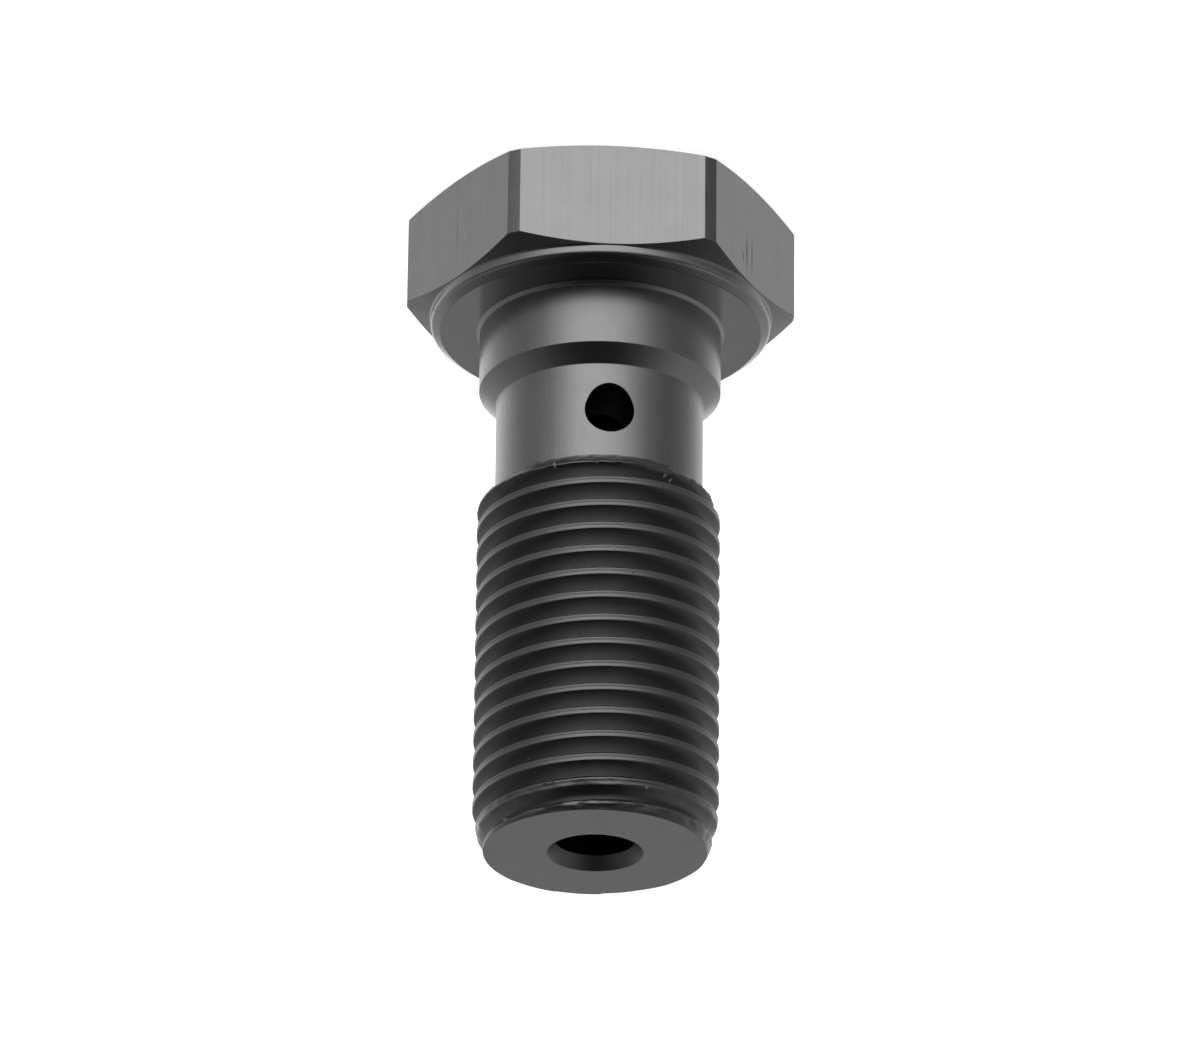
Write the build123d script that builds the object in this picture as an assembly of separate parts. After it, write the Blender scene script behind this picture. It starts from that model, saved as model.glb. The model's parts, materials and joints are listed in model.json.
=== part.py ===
from build123d import *
import os
from math import radians, tan

# Banjo bolt: a hollow hexagon bolt that clamps a ring-shaped hose fitting and lets the fluid pass
# from the bore in its tip, out through a cross hole in its waist, into the ring. One turned piece.
# Sizes are in millimetres. The origin is the centre of the sealing face under the head, and +Z
# runs along the axis to the tip. One flat of the hexagon and one mouth of the cross hole face -Y.

# Head, a hexagon turned down at its corners
across_flats = 14.0
corner_diameter = 15.86
head_height = 5.2
top_face_diameter = 13.1
top_chamfer_angle = 17.0
under_chamfer_angle = 24.0

# Round washer boss under the head, whose face seals inside its sloping edge
boss_diameter = 13.9
boss_height = 0.62
seat_diameter = 13.1
seat_edge_angle = 32.0

# Shank: pilot collar, then the reduced waist that the fluid flows round, then the thread
shank_length = 22.88
collar_diameter = 9.84
collar_length = 2.7
collar_root_chamfer = 0.14
waist_diameter = 8.41
waist_shoulder_length = 0.63

# Thread, M10 x 1.0 right-hand, drawn as the plain cylinder of its crests with its run-in and point
thread_length = 15.58
thread_crest_diameter = 9.85
thread_start_angle = 50.0
tip_face_diameter = 8.84
tip_chamfer_angle = 30.0

# Fluid passages, with the cross hole's slight turn off the flat's normal, from -Y towards -X
bore_diameter = 3.2
bore_reach_past_cross_hole = 0.4
drill_point_angle = 118.0
countersink_diameter = 3.84
countersink_angle = 60.0
cross_hole_diameter = 2.0
cross_hole_height = 5.41
cross_hole_turn = 2.0
cross_hole_drillings = 1

# How far a cutting tool's outline reaches past the surface that it cuts
tool_clearance = 0.1


def turned(*points):
    """Solid of revolution about the axis, from a closed outline of (radius, height) points."""
    return revolve(make_face(Plane.XZ * Polyline(*points, points[0])), Axis.Z)


def head():
    """Hexagon head: the bar's flats, cut by the turned outline of chamfers, corners and boss."""
    top = -head_height
    top_r = top_face_diameter / 2
    corner_r = corner_diameter / 2
    boss_r = boss_diameter / 2
    seat_r = seat_diameter / 2
    seat_drop = (boss_r - seat_r) * tan(radians(seat_edge_angle))
    top_drop = (corner_r - top_r) * tan(radians(top_chamfer_angle))
    under_drop = (corner_r - boss_r) * tan(radians(under_chamfer_angle))
    blank = turned(
        (0, 0),
        (seat_r, 0),
        (boss_r, -seat_drop),
        (boss_r, -boss_height),
        (corner_r, -boss_height - under_drop),
        (corner_r, top + top_drop),
        (top_r, top),
        (0, top),
    )
    hexagon = RegularPolygon(across_flats / 2, 6, major_radius=False)
    bar = extrude(Pos(0, 0, top) * hexagon, head_height)
    return blank & bar


def shank():
    """Pilot collar with its root, the sloping shoulder, the waist, and the thread to the tip."""
    collar_r = collar_diameter / 2
    root_r = collar_r + collar_root_chamfer
    waist_r = waist_diameter / 2
    crest_r = thread_crest_diameter / 2
    tip_r = tip_face_diameter / 2
    thread_start = shank_length - thread_length
    start_rise = (crest_r - waist_r) / tan(radians(thread_start_angle))
    tip_drop = (crest_r - tip_r) / tan(radians(tip_chamfer_angle))
    return turned(
        (0, -boss_height),
        (root_r, -boss_height),
        (root_r, 0),
        (collar_r, collar_root_chamfer),
        (collar_r, collar_length),
        (waist_r, collar_length + waist_shoulder_length),
        (waist_r, thread_start),
        (crest_r, thread_start + start_rise),
        (crest_r, shank_length - tip_drop),
        (tip_r, shank_length),
        (0, shank_length),
    )


def axial_bore():
    """Blind drilling from the tip to just past the cross hole, with its countersink."""
    bore_r = bore_diameter / 2
    sink_r = countersink_diameter / 2
    sink_slope = tan(radians(countersink_angle / 2))
    sink_depth = (sink_r - bore_r) / sink_slope
    floor = cross_hole_height - cross_hole_diameter / 2 - bore_reach_past_cross_hole
    point = floor - bore_r / tan(radians(drill_point_angle / 2))
    outside = shank_length + tool_clearance
    return turned(
        (0, point),
        (bore_r, floor),
        (bore_r, shank_length - sink_depth),
        (sink_r + tool_clearance * sink_slope, outside),
        (0, outside),
    )


def cross_holes():
    """Drillings right through the waist, evenly spaced round the axis, the first nearest -Y."""
    drilling = Cylinder(
        cross_hole_diameter / 2,
        waist_diameter + 2 * tool_clearance,
        rotation=(90, 0, 0),
    )
    step = 180 / cross_hole_drillings
    return [
        Pos(0, 0, cross_hole_height) * Rot(0, 0, step * i - cross_hole_turn) * drilling
        for i in range(cross_hole_drillings)
    ]


def banjo_bolt():
    """The whole bolt as one solid."""
    bolt = head() + shank() - axial_bore()
    for drilling in cross_holes():
        bolt -= drilling
    return bolt


parts = {"banjo_bolt": banjo_bolt()}

os.makedirs("parts", exist_ok=True)
for node, shape in parts.items():
    export_step(shape, f"parts/{node}.step")
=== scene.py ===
import json
from math import atan2, ceil, cos, pi, radians, sin, tan

import bpy
from mathutils import Matrix, Vector, noise as solid_noise


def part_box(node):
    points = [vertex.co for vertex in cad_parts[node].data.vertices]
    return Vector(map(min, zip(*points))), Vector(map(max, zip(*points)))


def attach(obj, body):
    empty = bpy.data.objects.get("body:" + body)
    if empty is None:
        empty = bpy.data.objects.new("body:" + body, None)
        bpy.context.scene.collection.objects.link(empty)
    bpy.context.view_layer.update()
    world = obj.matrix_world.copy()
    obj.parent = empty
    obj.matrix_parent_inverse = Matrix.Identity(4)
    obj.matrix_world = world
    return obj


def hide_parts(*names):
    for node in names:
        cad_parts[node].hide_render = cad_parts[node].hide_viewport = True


# Banjo bolt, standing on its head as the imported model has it, with the helical thread that the
# solid leaves plain, small edge roundings and a procedural steel. Sizes are in millimetres until
# the mesh is finished, because the cuts work better on larger numbers.

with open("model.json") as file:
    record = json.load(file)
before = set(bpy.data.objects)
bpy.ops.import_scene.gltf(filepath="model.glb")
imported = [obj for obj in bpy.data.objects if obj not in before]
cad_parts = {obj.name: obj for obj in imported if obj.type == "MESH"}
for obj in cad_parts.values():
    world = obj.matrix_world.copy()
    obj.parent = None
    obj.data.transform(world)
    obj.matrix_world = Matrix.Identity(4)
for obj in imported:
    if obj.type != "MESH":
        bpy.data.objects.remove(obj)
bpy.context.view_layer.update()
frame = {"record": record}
MM = 0.001

# How much nearer the head the cross hole is in the photo than in the solid
cross_hole_shift = 0.05

# Sizes that the frame gives
mounts = {mount["name"]: mount for mount in frame["record"]["mounts"]}
lowest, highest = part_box("banjo_bolt")
head_top = lowest.z / MM
tip = highest.z / MM
corner_r = highest.x / MM
flat_distance = highest.y / MM
crest_r = mounts["thread"]["dims"]["r_mm"]
collar_r = mounts["collar"]["dims"]["r_mm"]
bore_r = mounts["feed_bore"]["dims"]["r_mm"]
cross_hole_r = mounts["cross_hole"]["dims"]["r_mm"]
cross_hole_z = mounts["cross_hole"]["pos_m"][2] / MM - cross_hole_shift
cross_hole_axis = Vector(mounts["cross_hole"]["axis"])

# Head: chamfers, corners and the washer boss
top_face_r = 6.55
top_chamfer_angle = radians(17)
under_chamfer_angle = radians(24)
boss_r = 6.95
boss_height = 0.62
seat_r = 6.55
seat_edge_angle = radians(32)

# Shank: collar, shoulder, waist and the thread's turned ends
collar_root_chamfer = 0.14
collar_length = 2.7
shoulder_length = 0.63
waist_r = 4.205
thread_length = 15.5
thread_start_angle = radians(50)
tip_face_r = 4.46
tip_chamfer_angle = radians(21)

# Roundings of the turned edges, from the head's top to the waist
top_rounding = 0.1
upper_corner_rounding = 0.06
lower_corner_rounding = 0.02
boss_root_rounding = 0.12
boss_edge_rounding = 0.26
seat_rounding = 0.08
collar_rounding = 0.05
waist_rounding = 0.08

# Thread: M10 x 1.0 right-hand, rolled, so its crest has a shallow crease between two round shoulders
thread_pitch = 1.0
thread_depth = 0.6
head_side_flank_angle = radians(27)
crest_half_width = 0.135
crest_crease = 0.03
crest_rounding = 0.08
crease_rounding = 0.04
crest_azimuth_at_tip = radians(-61)

# How softly the thread runs out into its turned ends, how ragged its ridges are there, how many times a
# millimetre that changes, and the distance from the tip's face over which it sets in
start_softness = 0.35
tip_softness = 0.3
start_raggedness = 0.08
tip_raggedness = 0.04
ragged_frequency = 2.2
ragged_set_in = 0.25

# Joint inside the bolt: how far the plain core reaches past the thread's start, about how far the threaded
# rod reaches back from it, and how far under the waist's surface the rod stays there
core_overlap = 1.5
rod_overlap = 1.8
rod_inset = 0.4

# How far the rod's rows run in towards the axis on its end face, for each millimetre of thread
end_face_run = 0.9

# Passages
countersink_r = 1.92
countersink_half_angle = radians(30)
bore_reach_past_cross_hole = 0.4
bore_floor = cross_hole_z - cross_hole_r - bore_reach_past_cross_hole
drill_point_half_angle = radians(59)
passage_rounding = 0.05

# How far the cutting tools reach past the tip and past the waist's side
tip_clearance = 0.5
side_clearance = 1.0

# Deburred lip of the cross hole: half its width, how far it reaches past the hole towards the head, and
# how deep it goes over that reach
lip_half_width = 1.0
lip_reach = 0.16
lip_depth = 0.35

# Slivers of swarf on the thread, where the photo has them: azimuth in degrees, then millimetres for the
# height and the length. They lean outward and towards the head, and a little at random, which the seed
# makes the same on every run.
slivers = [
    (-65, 8.05, 0.30), (-85, 8.02, 0.12), (-119, 8.71, 0.13), (-121, 8.12, 0.22), (-126, 8.16, 0.25),
    (-135, 10.0, 0.12), (-103, 12.76, 0.14), (-74, 12.2, 0.10), (-77, 15.3, 0.10), (-50, 20.44, 0.08),
    (-62, 21.76, 0.13), (-66, 21.76, 0.10), (-111, 21.9, 0.16), (-33, 22.6, 0.14),
]
sliver_thickness = 0.13
sliver_lean = 0.6
sliver_wobble = 0.5
sliver_seed = 1

# Scratches along the head's flats, where the photo has them: the flat's azimuth in degrees, then
# millimetres for the place across it, the lower and upper end and the width
scratches = [
    (-150, 0.83, -2.9, -0.9, 0.11), (-150, 0.35, -3.0, -1.0, 0.09), (-150, 1.15, -1.9, -1.2, 0.07),
    (-30, 0.0, -4.9, -1.0, 0.05), (-90, 0.87, -5.0, -1.0, 0.022), (-90, 0.08, -4.0, -0.9, 0.018),
    (-90, -1.15, -5.0, -1.2, 0.022),
]

# Dent in the boss's edge
dent_azimuth = radians(-9)
dent_size = 0.1

# Fineness of the meshes
flat_columns = 24
strip_columns = 6
thread_columns = 180
round_columns = 96
cross_hole_columns = 72
flank_steps = 4
arc_points = 4
sharp_edge_angle = radians(25)


def polar(radius, angle, z):
    """The point at that distance from the axis, angle round it and height."""
    return Vector((radius * cos(angle), radius * sin(angle), z))


def rounded(corners):
    """An outline's points, from (radius, z, rounding) corners, each rounded by an arc."""
    points = [Vector(corners[0][:2])]
    for before, corner, after in zip(corners, corners[1:], corners[2:]):
        here = Vector(corner[:2])
        back = Vector(before[:2]) - here
        ahead = Vector(after[:2]) - here
        turn = pi - back.angle(ahead)
        longest = 0.45 * min(back.length, ahead.length)
        reach = min(corner[2] * tan(turn / 2), longest)
        start = here + back.normalized() * reach
        end = here + ahead.normalized() * reach
        for step in range(arc_points):
            t = step / (arc_points - 1)
            points.append(start * (1 - t) ** 2 + here * 2 * t * (1 - t) + end * t ** 2)
    points.append(Vector(corners[-1][:2]))
    return points


def solid_of_revolution(name, angles, outline_at):
    """A closed solid whose outline, from the axis back to the axis, may change with the angle."""
    outlines = [outline_at(angle) for angle in angles]
    rings = len(outlines[0]) - 2
    columns = len(angles)
    verts = [Vector((0, 0, outlines[0][0].y)), Vector((0, 0, outlines[0][-1].y))]
    for angle, outline in zip(angles, outlines):
        verts += [polar(point.x, angle, point.y) for point in outline[1:-1]]
    faces = []
    for column in range(columns):
        here = 2 + column * rings
        beside = 2 + (column + 1) % columns * rings
        faces.append((0, here, beside))
        faces.append((1, beside + rings - 1, here + rings - 1))
        faces += [(here + i, here + i + 1, beside + i + 1, beside + i) for i in range(rings - 1)]
    return new_object(name, verts, faces)


def new_object(name, verts, faces):
    """A mesh object with its faces turned outward."""
    mesh = bpy.data.meshes.new(name)
    mesh.from_pydata(verts, [], faces)
    obj = bpy.data.objects.new(name, mesh)
    bpy.context.scene.collection.objects.link(obj)
    if signed_volume(mesh) < 0:
        mesh.flip_normals()
    return obj


def signed_volume(mesh):
    """Positive where the mesh's faces point outward."""
    mesh.calc_loop_triangles()
    corners = [vertex.co for vertex in mesh.vertices]
    return sum(
        corners[a].dot(corners[b].cross(corners[c])) for a, b, c in
        (triangle.vertices for triangle in mesh.loop_triangles)
    )


def even_angles(count):
    """That many angles, evenly spaced round the axis."""
    return [2 * pi * i / count for i in range(count)]


def hexagon_angles():
    """Angles whose columns fall on every edge between a flat and the turned strip at a corner."""
    half_flat = flat_half_angle()
    angles = []
    for side in range(6):
        middle = radians(-90 + 60 * side)
        angles += [middle - half_flat + 2 * half_flat * i / flat_columns for i in range(flat_columns)]
        strip = radians(60) - 2 * half_flat
        angles += [middle + half_flat + strip * i / strip_columns for i in range(strip_columns)]
    return angles


def flat_half_angle():
    """Half the angle that a flat spans, up to where the corners are turned down."""
    return atan2((corner_r ** 2 - flat_distance ** 2) ** 0.5, flat_distance)


def hexagon_r(angle):
    """Distance from the axis to the hexagon's side, up to the turned corners."""
    off_middle = (angle + radians(90) + radians(30)) % radians(60) - radians(30)
    return min(corner_r, flat_distance / cos(off_middle))


def seat_drop():
    """How far the sealing face's sloping edge comes down at the boss's side."""
    return (boss_r - seat_r) * tan(seat_edge_angle)


def plain_bolt():
    """Head, boss, collar, shoulder and waist, with a core that ends inside the thread."""
    shoulder = collar_length + shoulder_length
    core_end = tip - thread_length + core_overlap

    def outline_at(angle):
        side_r = hexagon_r(angle)
        return rounded([
            (0, head_top, 0),
            (top_face_r, head_top, top_rounding),
            (side_r, head_top + (side_r - top_face_r) * tan(top_chamfer_angle), upper_corner_rounding),
            (side_r, -boss_height - (side_r - boss_r) * tan(under_chamfer_angle), lower_corner_rounding),
            (boss_r, -boss_height, boss_root_rounding),
            (boss_r, -seat_drop(), boss_edge_rounding),
            (seat_r, 0, seat_rounding),
            (collar_r + collar_root_chamfer, 0, collar_rounding),
            (collar_r, collar_root_chamfer, collar_rounding),
            (collar_r, collar_length, collar_rounding),
            (waist_r, shoulder, waist_rounding),
            (waist_r, core_end, 0),
            (0, core_end, 0),
        ])

    return solid_of_revolution("banjo_bolt_turned", hexagon_angles(), outline_at)


def thread_profile():
    """One pitch of the thread as (radius, z) points from root to root, its crest at z = 0. The flank
    towards the head is the steeper one, because the photo hides it."""
    root_r = crest_r - thread_depth
    root_z = -crest_half_width - thread_depth * tan(head_side_flank_angle)
    outline = rounded([
        (root_r, root_z, 0),
        (crest_r, -crest_half_width, crest_rounding),
        (crest_r - crest_crease, 0, crease_rounding),
        (crest_r, crest_half_width, crest_rounding),
        (root_r, root_z + thread_pitch, 0),
    ])
    points = []
    for start, end in zip(outline, outline[1:]):
        steps = flank_steps if abs(end.x - start.x) > thread_depth / 2 else 1
        points += [start.lerp(end, step / steps) for step in range(steps)]
    return points


def trimmed_r(radius, place):
    """The thread's radius there, trimmed by its start cone and by the tip's chamfer, both ragged."""
    ragged = solid_noise.fractal(place * ragged_frequency, 1.0, 2.0, 3)
    to_tip = max(tip - place.z, 0)
    start_cone = waist_r + (place.z - tip + thread_length) * tan(thread_start_angle)
    start_cone += start_raggedness * ragged
    tip_cone = tip_face_r + to_tip * tan(tip_chamfer_angle)
    tip_cone += tip_raggedness * ragged * min(to_tip / ragged_set_in, 1)
    trimmed = softer_min(radius, max(start_cone, waist_r - rod_inset), start_softness)
    return softer_min(trimmed, tip_cone, tip_softness)


def softer_min(a, b, softness):
    """The smaller of two numbers, with a smooth change from one to the other."""
    overlap = max(softness - abs(a - b), 0) / softness
    return min(a, b) - overlap * overlap * softness / 4


def threaded_rod(bottom):
    """A rod with the helical thread and a flat end at the tip. Its columns run along the axis, its rows
    round the helix, and the rows past the tip lie on the end face."""
    profile = thread_profile()
    rows = len(profile)
    length = (ceil((tip - bottom) / thread_pitch) + 1) * rows + 1
    first_crest = bottom + (tip - bottom) % thread_pitch
    verts = []
    for angle in even_angles(thread_columns):
        rise = first_crest + thread_pitch * (angle - crest_azimuth_at_tip) / (2 * pi)
        rim_r = rim_z = None
        for i in range(length):
            radius, z = profile[i % rows]
            z += rise + i // rows * thread_pitch
            if z < tip:
                verts.append(polar(trimmed_r(radius, polar(radius, angle, z)), angle, z))
                continue
            if rim_r is None:
                rim_r, rim_z = trimmed_r(radius, polar(radius, angle, tip)), z
            verts.append(polar(rim_r - end_face_run * (z - rim_z), angle, tip))
    faces = []
    for column in range(thread_columns):
        here = column * length
        beside = (column + 1) * length
        count = length - 1
        if column == thread_columns - 1:
            beside = rows
            count -= rows
        for i in range(count):
            faces += [(here + i, here + i + 1, beside + i), (here + i + 1, beside + i + 1, beside + i)]
    lower_rim = [column * length for column in range(thread_columns)]
    lower_rim += list(range(rows, 0, -1))
    upper_rim = [column * length + length - 1 for column in range(thread_columns)]
    upper_rim += [upper_rim[-1] - i for i in range(1, rows + 1)]
    below = len(verts)
    verts.append(Vector((0, 0, min(vert.z for vert in verts) - thread_pitch)))
    faces += [(below, a, b) for a, b in zip(lower_rim, lower_rim[1:] + lower_rim[:1])]
    faces.append(tuple(reversed(upper_rim)))
    return new_object("threaded_rod", verts, faces)


def sliver_chips():
    """The slivers, each of which stands out of the surface it sticks to."""
    solid_noise.seed_set(sliver_seed)
    verts, faces = [], []
    for azimuth, z, length in slivers:
        angle = radians(azimuth)
        radius = thread_surface_r(angle, z)
        middle = polar(radius, angle, z)
        wobble = solid_noise.noise_vector(middle * 5) * sliver_wobble
        along = (polar(sliver_lean, angle, -sliver_lean) + wobble).normalized() * length / 2
        out = polar(sliver_thickness, angle, 0)
        across = along.cross(out).normalized() * sliver_thickness / 2
        add_octahedron(verts, faces, middle, along, out, across)
    return new_object("slivers", verts, faces)


def add_octahedron(verts, faces, middle, along, out, across):
    """Adds an octahedron whose six points lie that far from its middle, to both sides."""
    first = len(verts)
    verts += [middle + along, middle - along, middle + out, middle - out, middle + across, middle - across]
    for end, rim in ((0, [2, 4, 3, 5]), (1, [5, 3, 4, 2])):
        faces += [(first + end, first + a, first + b) for a, b in zip(rim, rim[1:] + rim[:1])]


def scratch_tool():
    """The long thin wedges that scratch the flats, and the short one that dents the boss's edge."""
    verts, faces = [], []
    for azimuth, offset, low, high, width in scratches:
        angle = radians(azimuth)
        aside = polar(1, angle + pi / 2, 0)
        middle = polar(flat_distance, angle, (low + high) / 2) + aside * offset
        along = Vector((0, 0, (high - low) / 2))
        add_octahedron(verts, faces, middle, along, polar(width / 4, angle, 0), aside * width / 2)
    middle = polar(boss_r, dent_azimuth, -seat_drop())
    out = polar(dent_size, dent_azimuth, 0)
    across = polar(dent_size, dent_azimuth + pi / 2, 0)
    add_octahedron(verts, faces, middle, Vector((0, 0, dent_size)), out, across)
    return new_object("scratches", verts, faces)


def thread_surface_r(angle, z):
    """The radius of the threaded rod's surface at that angle and height."""
    profile = thread_profile()
    crest_z = tip + thread_pitch * (angle - crest_azimuth_at_tip) / (2 * pi)
    offset = (z - crest_z - profile[0].y) % thread_pitch + profile[0].y
    nearest = min(profile, key=lambda point: abs(point.y - offset))
    return trimmed_r(nearest.x, polar(nearest.x, angle, z))


def bore_tool():
    """The drill and countersink that open the tip."""
    sink_slope = tan(countersink_half_angle)
    sink_depth = (countersink_r - bore_r) / sink_slope
    outside = tip + tip_clearance
    outline = rounded([
        (0, bore_floor - bore_r / tan(drill_point_half_angle), 0),
        (bore_r, bore_floor, passage_rounding),
        (bore_r, tip - sink_depth, passage_rounding),
        (countersink_r + tip_clearance * sink_slope, outside, 0),
        (0, outside, 0),
    ])
    tool = solid_of_revolution("bore_tool", even_angles(round_columns), lambda angle: outline)
    # The bore's walls take the passages' almost black painted shade; the countersink does not
    paint(tool, "drilled_and_shaded", lambda face: face.center.z < tip - sink_depth)
    paint(tool, "countersunk", lambda face: face.center.z > tip - sink_depth)
    return tool


def cross_hole_tool():
    """The cross drill, right through the waist."""
    reach = waist_r + side_clearance
    outline = [Vector((0, -reach)), Vector((cross_hole_r, -reach)), Vector((cross_hole_r, reach)),
               Vector((0, reach))]
    columns = even_angles(cross_hole_columns)
    tool = solid_of_revolution("cross_hole_tool", columns, lambda angle: outline)
    # The cross hole's walls take the passages' almost black painted shade
    paint(tool, "drilled_and_shaded")
    aim_across(tool, cross_hole_z)
    return tool


def lip_tool():
    """The small oval cone that deburrs the cross hole's mouth on the side towards the head."""
    outside = waist_r + side_clearance
    half_height = cross_hole_r + lip_reach / 2
    steepness = lip_reach / lip_depth
    outline = [
        Vector((0, waist_r - half_height / steepness)),
        Vector((half_height + side_clearance * steepness, outside)),
        Vector((0, outside)),
    ]
    tool = solid_of_revolution("lip_tool", even_angles(round_columns), lambda angle: outline)
    tool.data.transform(Matrix.Scale(lip_half_width / half_height, 4, (1, 0, 0)))
    paint(tool, "lip")
    aim_across(tool, cross_hole_z - lip_reach / 2)
    return tool


def aim_across(tool, z):
    """Turns a tool from the bolt's axis to the cross hole's, at that height."""
    across = cross_hole_axis
    side = Vector((0, 0, 1)).cross(across)
    turn = Matrix((side, across.cross(side), across)).transposed().to_4x4()
    tool.data.transform(Matrix.Translation((0, 0, z)) @ turn)


def combine(base, tool, operation):
    """Applies an exact union or cut to the base, and uses up the tool."""
    modifier = base.modifiers.new(operation, "BOOLEAN")
    modifier.operation = operation
    modifier.object = tool
    modifier.solver = "EXACT"
    modifier.material_mode = "TRANSFER"
    apply_modifiers(base)
    bpy.data.objects.remove(tool)


def even_out_shading(obj):
    """Shades each large face flat, so that only the small rounded ones between them curve."""
    modifier = obj.modifiers.new("even_shading", "WEIGHTED_NORMAL")
    modifier.mode = "FACE_AREA"
    modifier.keep_sharp = True
    apply_modifiers(obj)


def apply_modifiers(obj):
    """Puts what the modifiers make into the mesh itself."""
    bpy.context.view_layer.update()
    evaluated = obj.evaluated_get(bpy.context.evaluated_depsgraph_get())
    mesh = bpy.data.meshes.new_from_object(evaluated)
    obj.modifiers.clear()
    obj.data = mesh


def paint(obj, finish, chosen=lambda face: True):
    """Gives the chosen faces a finish."""
    obj.data.materials.append(finishes[finish])
    slot = len(obj.data.materials) - 1
    for face in obj.data.polygons:
        if chosen(face):
            face.material_index = slot


def is_side(face):
    """Whether a face of the plain bolt is on the side of its head, between the chamfers."""
    return abs(face.normal.z) < 0.02 and face.center.z < -boss_height - 0.2


def is_flat(face):
    """Whether a face on the side of the head is on one of the bar's six flats."""
    turned_away = (atan2(face.normal.y, face.normal.x) + radians(30)) % radians(60)
    return is_side(face) and min(turned_away, radians(60) - turned_away) < radians(10)


def is_seat(face):
    """Whether a face of the plain bolt is on the sealing face or its sloping edge."""
    return face.normal.z > 0.5 and -boss_height < face.center.z < 0.01


def is_flank(face):
    """Whether a face of the threaded rod is on a flank of the thread."""
    return not -0.8 < face.normal.z < 0.6


def is_end_face(face):
    """Whether a face of the threaded rod is on the tip's flat end."""
    return face.normal.z > 0.99


def bolt_piece():
    """The whole bolt in metres, smooth but for its edges."""
    threaded = threaded_rod(tip - thread_length - rod_overlap)
    paint(threaded, "crest")
    paint(threaded, "flank", is_flank)
    paint(threaded, "turned", is_end_face)
    chips = sliver_chips()
    paint(chips, "bright")
    bolt = plain_bolt()
    paint(bolt, "turned")
    paint(bolt, "seat", is_seat)
    paint(bolt, "corner", is_side)
    paint(bolt, "drawn", is_flat)
    cuts = scratch_tool()
    paint(cuts, "drawn")
    combine(bolt, cuts, "DIFFERENCE")
    combine(bolt, threaded, "UNION")
    combine(bolt, chips, "UNION")
    combine(bolt, bore_tool(), "DIFFERENCE")
    combine(bolt, lip_tool(), "DIFFERENCE")
    combine(bolt, cross_hole_tool(), "DIFFERENCE")
    bolt.data.shade_smooth()
    bolt.data.set_sharp_from_angle(angle=sharp_edge_angle)
    even_out_shading(bolt)
    bolt.data.transform(Matrix.Scale(MM, 4))
    return bolt


# Shader nodes

def node(tree, kind, values=None, **settings):
    """A new node with its settings, each named input linked to a socket or set to a value."""
    made = tree.nodes.new(kind)
    for name, value in settings.items():
        setattr(made, name, value)
    for name, value in (values or {}).items():
        socket = made.inputs[name]
        if isinstance(value, bpy.types.NodeSocket):
            tree.links.new(value, socket)
        else:
            socket.default_value = value
    return made


def calc(tree, operation, *values):
    """The result of a Math node."""
    made = node(tree, "ShaderNodeMath", dict(enumerate(values)), operation=operation)
    return made.outputs[0]


def ramp(tree, value, *stops):
    """A grey ColorRamp with (position, grey) stops."""
    made = node(tree, "ShaderNodeValToRGB", {"Fac": value})
    elements = made.color_ramp.elements
    for position, grey in stops[2:]:
        elements.new(position)
    for element, (position, grey) in zip(elements, stops):
        element.position = position
        element.color = (grey, grey, grey, 1)
    return made.outputs["Color"]


def noise(tree, vector, scale, detail=2.0):
    """A noise value from 0 to 1 at a 3-D vector."""
    made = node(tree, "ShaderNodeTexNoise", {"Vector": vector, "Scale": scale, "Detail": detail})
    return made.outputs["Fac"]


def change(tree, value, low, high, start, end, interpolation="LINEAR"):
    """A number that goes from start to end while the value goes from low to high."""
    made = node(tree, "ShaderNodeMapRange", {
        "Value": value, "From Min": low, "From Max": high, "To Min": start, "To Max": end},
        interpolation_type=interpolation)
    return made.outputs[0]


def varied(tree, middle, spread, marks):
    """A number that the marks, which go from 0 to 1, spread about its middle."""
    return calc(tree, "MULTIPLY_ADD", marks, spread, calc(tree, "SUBTRACT", middle, spread / 2))


def position_mm(tree):
    """The point on the object, in millimetres."""
    place = node(tree, "ShaderNodeTexCoord").outputs["Object"]
    made = node(tree, "ShaderNodeVectorMath", {0: place, 3: 1 / MM}, operation="SCALE")
    return made.outputs[0]


# Texture that every finish has: how far edges are shaded round and how high the pits are, in millimetres,
# how much the pits change the tone and the roughness, and how much the larger patches change the tone
shaded_rounding = 0.03
pit_height = 0.0022
pit_tone = 0.14
pit_roughness = 0.12
pits_per_mm = 14.0
patch_tone = 0.06
patches_per_mm = 0.9

# How far under the crests the thread begins to turn paler, as painted light standing in for the light that
# the next ridge reflects into the groove
root_light_from = 0.2


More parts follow.
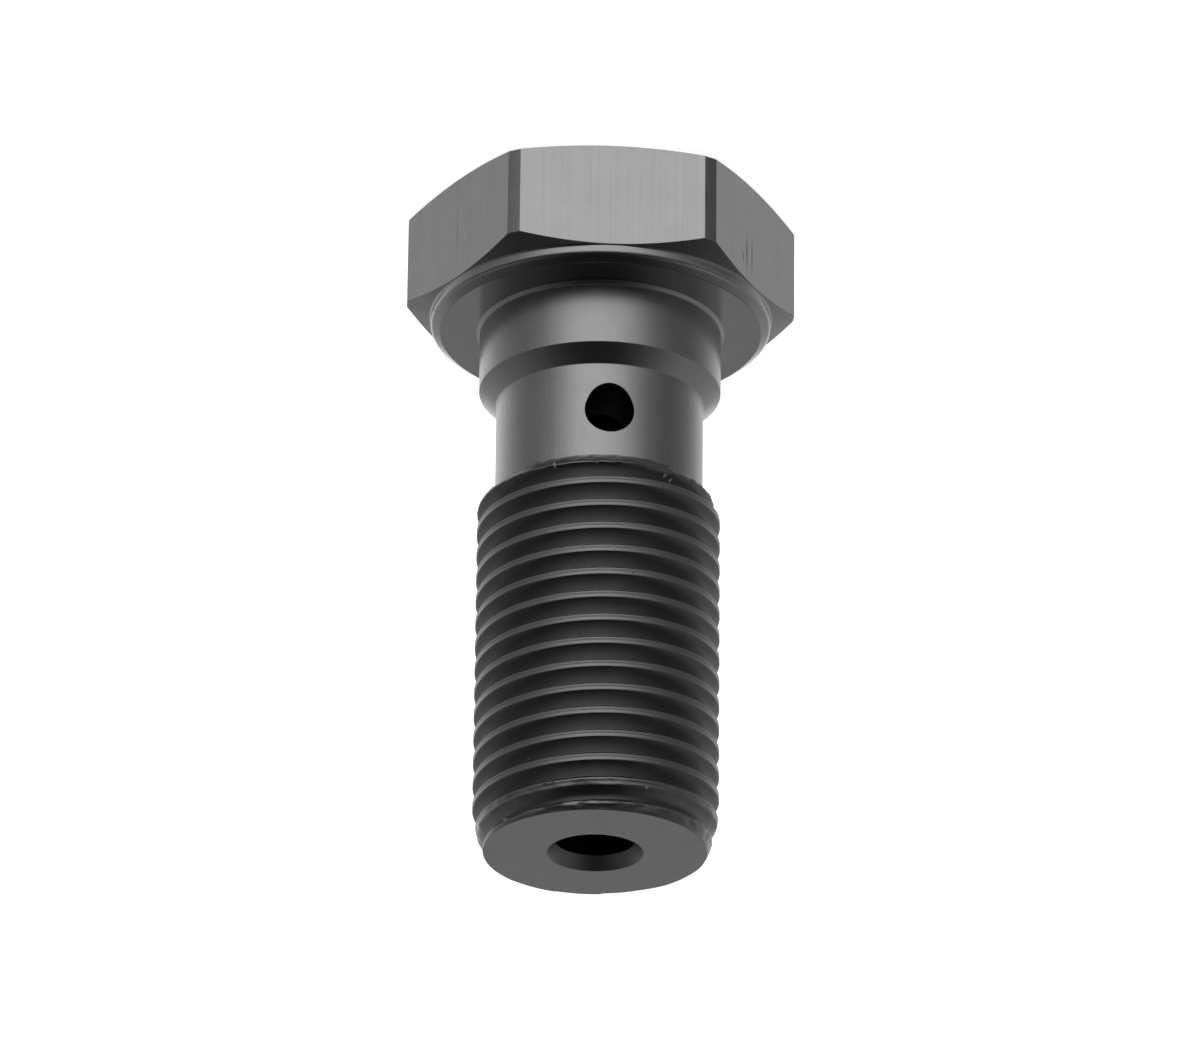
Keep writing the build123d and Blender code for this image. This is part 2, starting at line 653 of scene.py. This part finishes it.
def steel(name, grain, roughness, base, grain_height, streaks=0.05, painted_root_light=0.0):
    """Dark satin steel. grain gives a vector that runs fast across the marks and slowly along them. The
    last
    argument is painted light: how much paler the steel is painted at the thread's root, for the light that
    the next ridge reflects into the groove."""
    material = bpy.data.materials.new(name)
    material.use_nodes = True
    tree = material.node_tree
    tree.nodes.clear()
    place = position_mm(tree)
    marks = noise(tree, grain(tree, place), 1.0, 3.0)
    pits = noise(tree, place, pits_per_mm, 4.0)
    patches = noise(tree, place, patches_per_mm)
    height = calc(tree, "ADD", calc(tree, "MULTIPLY", marks, grain_height),
                  calc(tree, "MULTIPLY", pits, pit_height))
    bevel = node(tree, "ShaderNodeBevel", {"Radius": shaded_rounding * MM}, samples=4)
    bump = node(tree, "ShaderNodeBump", {
        "Height": height, "Strength": 1.0, "Distance": MM, "Normal": bevel.outputs[0]})
    tone = varied(tree, base, patch_tone, patches)
    tone = varied(tree, tone, streaks, marks)
    tone = varied(tree, tone, pit_tone, pits)
    root_r = crest_r - thread_depth
    # Painted light: the steel turns paler from just under the crests to the root, for light reflected into
    # the groove
    root_light = change(tree, axis_distance(tree, place), crest_r - root_light_from, root_r, 0.0, painted_root_light)
    tone = calc(tree, "ADD", tone, root_light)
    colour = node(tree, "ShaderNodeCombineColor", {0: tone, 1: tone, 2: tone})
    rough = varied(tree, roughness, pit_roughness, pits)
    surface = node(tree, "ShaderNodeBsdfPrincipled", {
        "Base Color": colour.outputs[0], "Metallic": 1.0, "Roughness": rough,
        "Normal": bump.outputs[0]})
    node(tree, "ShaderNodeOutputMaterial", {"Surface": surface.outputs[0]})
    return material


def axis_distance(tree, place):
    """How far a point is from the bolt's axis."""
    level = node(tree, "ShaderNodeVectorMath", {0: place, 1: (1, 1, 0)}, operation="MULTIPLY")
    made = node(tree, "ShaderNodeVectorMath", {0: level.outputs[0]}, operation="LENGTH")
    return made.outputs["Value"]


def turned_grain(tree, place):
    """Marks that run round the axis."""
    x, y, z = node(tree, "ShaderNodeSeparateXYZ", {0: place}).outputs
    radius = axis_distance(tree, place)
    divisor = calc(tree, "MAXIMUM", radius, 0.01)
    marks_per_mm = 22.0
    made = node(tree, "ShaderNodeCombineXYZ", {
        0: calc(tree, "DIVIDE", x, divisor),
        1: calc(tree, "DIVIDE", y, divisor),
        2: calc(tree, "MULTIPLY", calc(tree, "ADD", z, radius), marks_per_mm)})
    return made.outputs[0]


def drawn_grain(tree, place):
    """Marks that run along the axis, as drawn bar has."""
    made = node(tree, "ShaderNodeVectorMath", {0: place, 1: (9.0, 9.0, 0.12)}, operation="MULTIPLY")
    return made.outputs[0]


# Finish of each zone: turned head and shank, drawn flats and the worn corners between them, the sealing
# face, the thread's rubbed crests, dark flanks with painted light paler towards the root, bright slivers,
# countersink, and the drilled passages, painted almost black as painted shade
finishes = {
    "turned": steel("turned_steel", turned_grain, roughness=0.30, base=0.42, grain_height=0.0010),
    "drawn": steel("drawn_steel", drawn_grain, roughness=0.30, base=0.49, grain_height=0.0016, streaks=0.1),
    "corner": steel("corner_steel", turned_grain, roughness=0.34, base=0.30, grain_height=0.0010),
    "seat": steel("seat_steel", turned_grain, roughness=0.18, base=0.43, grain_height=0.0008),
    "crest": steel("crest_steel", turned_grain, roughness=0.36, base=0.25, grain_height=0.0008),
    # The flanks carry painted light that is paler towards the root
    "flank": steel("flank_steel", turned_grain, roughness=0.36, base=0.18, grain_height=0.0008,
                   painted_root_light=0.17),
    "bright": steel("bright_steel", turned_grain, roughness=0.45, base=0.9, grain_height=0.0008),
    "countersunk": steel("countersunk_steel", turned_grain, roughness=0.45, base=0.34, grain_height=0.003),
    "lip": steel("lip_steel", turned_grain, roughness=0.45, base=0.14, grain_height=0.001),
    # Painted shade: the passages' steel is almost black for the shade inside them
    "drilled_and_shaded": steel("drilled_steel_painted_shade", turned_grain, roughness=0.6, base=0.05, grain_height=0.002),
}


# Studio

# Camera fitted to the photo, with its distance and aim in millimetres. The surround's front is on its side.
camera_azimuth = radians(3.6)
camera_elevation = radians(24.708)
camera_roll = radians(180.582)
camera_distance = 329.7
aim = Vector((-0.06, 0.0, 8.34))
lens = 244.74


def camera():
    """The photograph's view: from above the tip, turned so that the head is at the top."""
    back = Vector((sin(camera_azimuth) * cos(camera_elevation),
                   -cos(camera_azimuth) * cos(camera_elevation), sin(camera_elevation)))
    data = bpy.data.cameras.new("camera")
    data.lens = lens
    data.sensor_width = 36
    data.clip_start = 0.01
    eye = bpy.data.objects.new("camera", data)
    level = back.to_track_quat("Z", "Y").to_matrix().to_4x4()
    eye.matrix_world = (Matrix.Translation((aim + back * camera_distance) * MM) @ level
                        @ Matrix.Rotation(camera_roll, 4, "Z"))
    bpy.context.scene.collection.objects.link(eye)
    bpy.context.scene.camera = eye


def floor():
    """A pale floor that shows white round the object and keeps its shadow."""
    size = 3.0
    mesh = bpy.data.meshes.new("floor")
    z = lowest.z
    mesh.from_pydata([(-size, -size, z), (size, -size, z), (size, size, z), (-size, size, z)],
                     [], [(0, 1, 2, 3)])
    obj = bpy.data.objects.new("floor", mesh)
    bpy.context.scene.collection.objects.link(obj)
    material = bpy.data.materials.new("floor_white")
    material.use_nodes = True
    tree = material.node_tree
    tree.nodes.clear()
    seen = node(tree, "ShaderNodeLightPath").outputs["Is Camera Ray"]
    matt = node(tree, "ShaderNodeBsdfDiffuse", {"Color": (0.8, 0.8, 0.8, 1)})
    glow = node(tree, "ShaderNodeEmission", {"Strength": calc(tree, "MULTIPLY", seen, 0.85)})
    both = node(tree, "ShaderNodeAddShader", {0: matt.outputs[0], 1: glow.outputs[0]})
    node(tree, "ShaderNodeOutputMaterial", {"Surface": both.outputs[0]})
    mesh.materials.append(material)
    obj.visible_glossy = False


def studio_dome():
    """The soft surround that the metal mirrors: a white sweep below the horizon and dark above it."""
    world = bpy.data.worlds.new("studio")
    bpy.context.scene.world = world
    world.use_nodes = True
    tree = world.node_tree
    tree.nodes.clear()
    way = node(tree, "ShaderNodeTexCoord").outputs["Generated"]
    x, y, z = node(tree, "ShaderNodeSeparateXYZ", {0: way}).outputs
    level = calc(tree, "MAXIMUM", axis_distance(tree, way), 0.001)
    ahead = calc(tree, "SUBTRACT", calc(tree, "MULTIPLY", x, sin(camera_azimuth)),
                 calc(tree, "MULTIPLY", y, cos(camera_azimuth)))
    aside = calc(tree, "ADD", calc(tree, "MULTIPLY", x, cos(camera_azimuth)),
                 calc(tree, "MULTIPLY", y, sin(camera_azimuth)))
    facing = calc(tree, "DIVIDE", ahead, level)
    sweep = sweep_light(tree, z, facing, calc(tree, "DIVIDE", aside, level))
    above = upper_light(tree, z, facing, aside)
    rise = change(tree, z, -0.2, 0.03, 0.0, 1.0)
    whole = node(tree, "ShaderNodeMix", {"Factor": rise, "A": sweep, "B": above})
    light = node(tree, "ShaderNodeBackground", {"Color": whole.outputs[0], "Strength": 1.0})
    node(tree, "ShaderNodeOutputWorld", {"Surface": light.outputs[0]})


def sweep_light(tree, z, facing, side):
    """Light of the sweep: bright in front of the object and behind it, grey at its sides and a little
    paler on the photo's left. It is paler still near the horizon and, in front, far below it."""
    half = calc(tree, "MULTIPLY_ADD", facing, 0.5, 0.5)
    light = ramp(tree, half, (0.0, 1.0), (0.03, 0.95), (0.067, 0.85), (0.117, 0.74), (0.179, 0.57),
                 (0.25, 0.4), (0.33, 0.29), (0.5, 0.17), (0.67, 0.18), (0.75, 0.23), (0.821, 0.3),
                 (0.883, 0.48), (0.933, 0.68), (0.97, 0.84), (1.0, 0.9))
    light = calc(tree, "MULTIPLY", light, calc(tree, "MULTIPLY_ADD", side, 0.23, 0.95))
    light = calc(tree, "MULTIPLY", light, change(tree, z, -0.42, -0.12, 1.0, 1.3))
    return calc(tree, "MULTIPLY_ADD", half, change(tree, z, -0.55, -0.78, 0.0, 0.26), light)


def upper_light(tree, z, facing, aside):
    """Light above the horizon: dark in front, soft light low down at the back and high at the sides."""
    behind = ramp(tree, z, (0.0, 0.45), (0.2, 0.36), (0.42, 0.31), (0.6, 0.1), (0.77, 0.03), (1.0, 0.012))
    front = ramp(tree, z, (0.0, 0.2), (0.15, 0.03), (0.32, 0.006), (0.45, 0.006), (0.6, 0.02),
                 (0.8, 0.016), (1.0, 0.012))
    turn = change(tree, facing, -0.8, 0.05, 0.0, 1.0, "SMOOTHSTEP")
    light = node(tree, "ShaderNodeMix", {"Factor": turn, "A": behind, "B": front})
    sides = calc(tree, "MULTIPLY_ADD", calc(tree, "SIGN", aside), -0.13, 0.54)
    sides = calc(tree, "MULTIPLY", sides, calc(tree, "POWER", calc(tree, "ABSOLUTE", aside), 3.0))
    sides = calc(tree, "MULTIPLY", sides, change(tree, z, 0.4, 0.65, 0.15, 1.0))
    return calc(tree, "ADD", light.outputs[0], sides)


def softbox(name, place, size, power):
    """A large soft lamp, aimed at the object, that the metal doesn't mirror."""
    data = bpy.data.lights.new(name, "AREA")
    data.shape = "DISK"
    data.size = size
    data.energy = power
    obj = bpy.data.objects.new(name, data)
    obj.location = place
    obj.rotation_euler = Vector(place).to_track_quat("Z", "Y").to_euler()
    obj.visible_glossy = False
    bpy.context.scene.collection.objects.link(obj)


bolt = bolt_piece()
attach(bolt, "root")
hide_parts("banjo_bolt")

camera()
floor()
studio_dome()
softbox("softbox", (0.1, -0.3, 0.6), 0.5, 4.0)

bpy.context.scene.view_settings.view_transform = "Standard"
